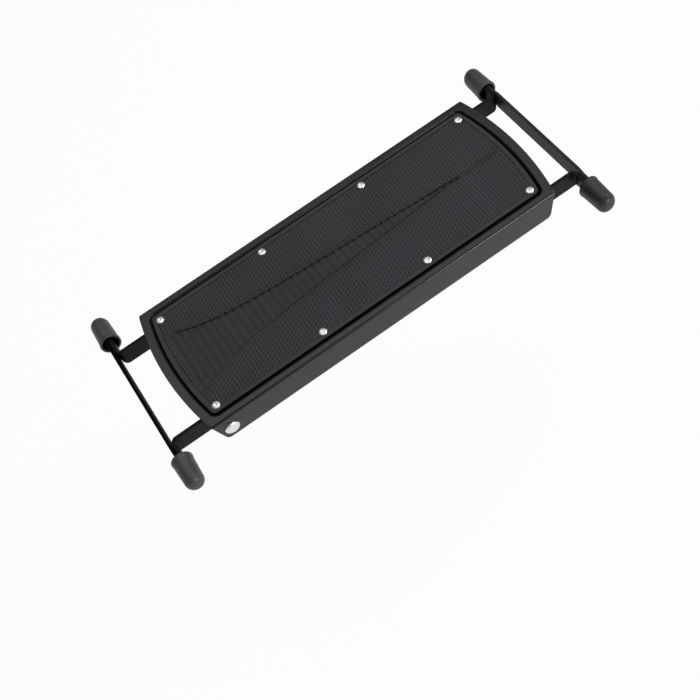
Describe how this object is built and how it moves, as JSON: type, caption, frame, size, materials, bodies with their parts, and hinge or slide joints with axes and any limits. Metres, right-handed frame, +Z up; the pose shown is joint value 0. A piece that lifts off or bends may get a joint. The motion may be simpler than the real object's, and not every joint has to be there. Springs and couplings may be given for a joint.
{
  "type": "guitar footrest",
  "caption": "Folding guitar footrest: a pressed steel tray with a ribbed rubber tread on a scissor stand whose feet wear rubber caps.",
  "frame": {"origin": "middle of the folded stand's bounding box, on the floor that the tray's flanges stand on", "axes": "+X along the tray, from the end with the pivot rivets to the free end; +Y across it; +Z up"},
  "size_m": [0.3496, 0.1646, 0.0232],
  "materials": {
    "black_paint": "satin black paint",
    "mat_rubber": "matt, finely dotted",
    "cap_rubber": "smooth, slightly glossy",
    "bright_steel": "bright plated"
  },
  "bodies": {
    "tray_body": {"tray": "black_paint", "tread_mat": "mat_rubber", "mat_rivet_1": "bright_steel", "mat_rivet_2": "bright_steel", "mat_rivet_3": "bright_steel", "mat_rivet_4": "bright_steel", "mat_rivet_5": "bright_steel", "mat_rivet_6": "bright_steel", "mat_rivet_7": "bright_steel", "mat_rivet_8": "bright_steel", "rack_near": "black_paint", "rack_far": "black_paint", "pivot_rivet_near": "bright_steel", "pivot_rivet_far": "bright_steel", "pivot_bush_near": "bright_steel", "pivot_bush_far": "bright_steel"},
    "long_legs": {"long_leg_near": "black_paint", "long_leg_far": "black_paint", "long_leg_crossbar": "black_paint", "long_leg_cap_near": "cap_rubber", "long_leg_cap_far": "cap_rubber", "scissor_rivet_near": "bright_steel", "scissor_rivet_far": "bright_steel", "scissor_washer_near": "bright_steel", "scissor_washer_far": "bright_steel"},
    "short_legs": {"short_leg_near": "black_paint", "short_leg_far": "black_paint", "short_leg_crossbar": "black_paint", "short_leg_cap_near": "cap_rubber", "short_leg_cap_far": "cap_rubber", "latch_rod": "bright_steel"}
  },
  "joints": [
    {"name": "long_leg_hinge", "type": "hinge", "parent": "tray_body", "child": "long_legs", "pos_m": [-0.12725, 0, 0.01], "axis": [0, 1, 0], "range_deg": [0, 43.4]},
    {"name": "scissor_hinge", "type": "hinge", "parent": "long_legs", "child": "short_legs", "pos_m": [-0.01205, 0, 0.01], "axis": [0, 1, 0], "range_deg": [-77.2, 0]}
  ],
  "couplings": [
    {"joint": "scissor_hinge", "follows": "long_leg_hinge", "ratio": -1.7775}
  ]
}
